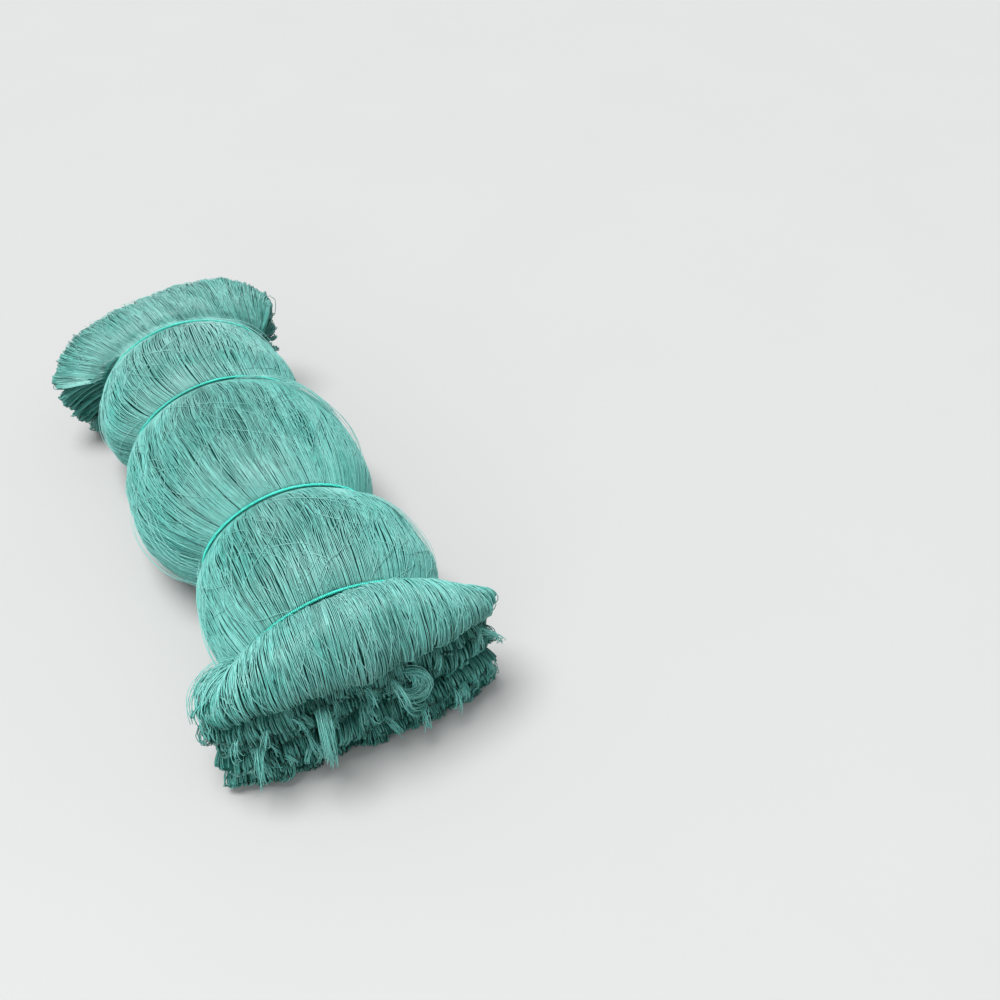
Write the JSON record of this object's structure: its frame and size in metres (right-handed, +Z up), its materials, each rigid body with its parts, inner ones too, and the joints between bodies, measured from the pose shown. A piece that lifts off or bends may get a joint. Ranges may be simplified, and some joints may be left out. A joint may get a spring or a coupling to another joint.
{
  "type": "fishing net bundle",
  "caption": "Green fishing net drawn out, folded back and forth into a bundle and tied round with thin cords, so it swells between them and its folded ends fan out.",
  "frame": {"origin": "middle of the bundle's length and width, on the surface it lies on", "axes": "+X along the bundle to its near end, +Z up, +Y across it to the side of the knots"},
  "size_m": [0.8387, 0.388, 0.2097],
  "materials": {
    "net": "fine twine with a soft gloss",
    "tie": "plied cord, slightly glossy"
  },
  "bodies": {
    "root": {"net": "net", "tie_1": "tie", "tie_2": "tie", "tie_3": "tie", "tie_4": "tie"}
  },
  "joints": []
}
